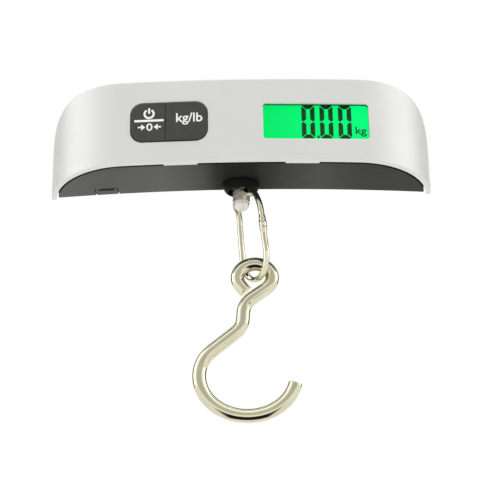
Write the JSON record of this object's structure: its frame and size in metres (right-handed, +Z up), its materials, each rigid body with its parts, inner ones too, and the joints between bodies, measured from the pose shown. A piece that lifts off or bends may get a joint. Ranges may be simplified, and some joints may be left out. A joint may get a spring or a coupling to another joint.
{
  "type": "digital luggage scale",
  "caption": "Hand-held hanging scale: a bar-shaped case with display and two keys, and a wire hook on a swivelling stud and link.",
  "frame": {"origin": "middle of the case's height on the load axis, where the hand's pull and the stud line up", "axes": "+X to the right along the case as its front is seen, +Y from the flat front to the back, +Z up; the hook hangs towards -Z"},
  "size_m": [0.1298, 0.0272, 0.1115],
  "materials": {
    "silver_shell": "satin silver spray",
    "black_shell": "fine satin moulding",
    "key_rubber": "matte, printed in white",
    "clear_lens": "clear acrylic",
    "display": "lit green liquid-crystal cell",
    "white_plastic": "moulded",
    "board": "solder mask",
    "bright_steel": "polished stainless wire",
    "zinc_steel": "zinc plated",
    "aluminium": "milled",
    "brass": "bright",
    "film": "polyimide film"
  },
  "bodies": {
    "case": {"front_cover": "silver_shell", "rear_housing": "black_shell", "guide_collar": "black_shell", "case_screw_1": "zinc_steel", "case_screw_2": "zinc_steel", "case_screw_3": "zinc_steel", "lcd_lens": "clear_lens", "lcd_frame": "white_plastic", "lcd_cell": "display", "lcd_backlight": "white_plastic", "lcd_strip_connector": "key_rubber", "power_switch": "black_shell", "unit_switch": "black_shell", "circuit_board": "board", "controller_blob": "black_shell", "board_screw_1": "zinc_steel", "board_screw_2": "zinc_steel", "coin_cell": "zinc_steel", "battery_holder": "black_shell", "negative_contact": "brass", "positive_contact": "brass", "load_cell": "aluminium", "load_plate": "zinc_steel", "beam_spacer_left": "zinc_steel", "beam_spacer_right": "zinc_steel", "beam_screw_left": "zinc_steel", "beam_screw_right": "zinc_steel", "strain_gauge_left": "film", "strain_gauge_right": "film", "sensor_lead": "film", "thrust_washer": "brass"},
    "door": {"battery_door": "black_shell"},
    "power_button": {"power_zero_key": "key_rubber", "power_plunger": "white_plastic"},
    "unit_button": {"unit_key": "key_rubber", "unit_plunger": "white_plastic"},
    "swivel": {"stud": "bright_steel", "retaining_clip": "zinc_steel"},
    "link": {"link": "bright_steel"},
    "hook": {"hook": "bright_steel"}
  },
  "joints": [
    {"name": "battery_door_hinge", "type": "hinge", "parent": "case", "child": "door", "pos_m": [-0.0455, -0.0009, 0.00652], "axis": [1, 0, 0], "range_deg": [0, 75]},
    {"name": "power_key_press", "type": "slide", "parent": "case", "child": "power_button", "axis": [0, 1, 0], "range_m": [0, 0.0007], "stiffness_N_per_m": 600},
    {"name": "unit_key_press", "type": "slide", "parent": "case", "child": "unit_button", "axis": [0, 1, 0], "range_m": [0, 0.0007], "stiffness_N_per_m": 600},
    {"name": "stud_swivel", "type": "hinge", "parent": "case", "child": "swivel", "pos_m": [0, 0, -0.01775], "axis": [0, 0, 1], "continuous": true},
    {"name": "link_swing", "type": "hinge", "parent": "swivel", "child": "link", "pos_m": [0, 0, -0.01755], "axis": [0.5299, -0.848, 0], "range_deg": [-45, 35]},
    {"name": "hook_swing", "type": "hinge", "parent": "link", "child": "hook", "pos_m": [0.00405, -0.0006, -0.04835], "axis": [0, 1, 0], "range_deg": [-50, 50]}
  ]
}
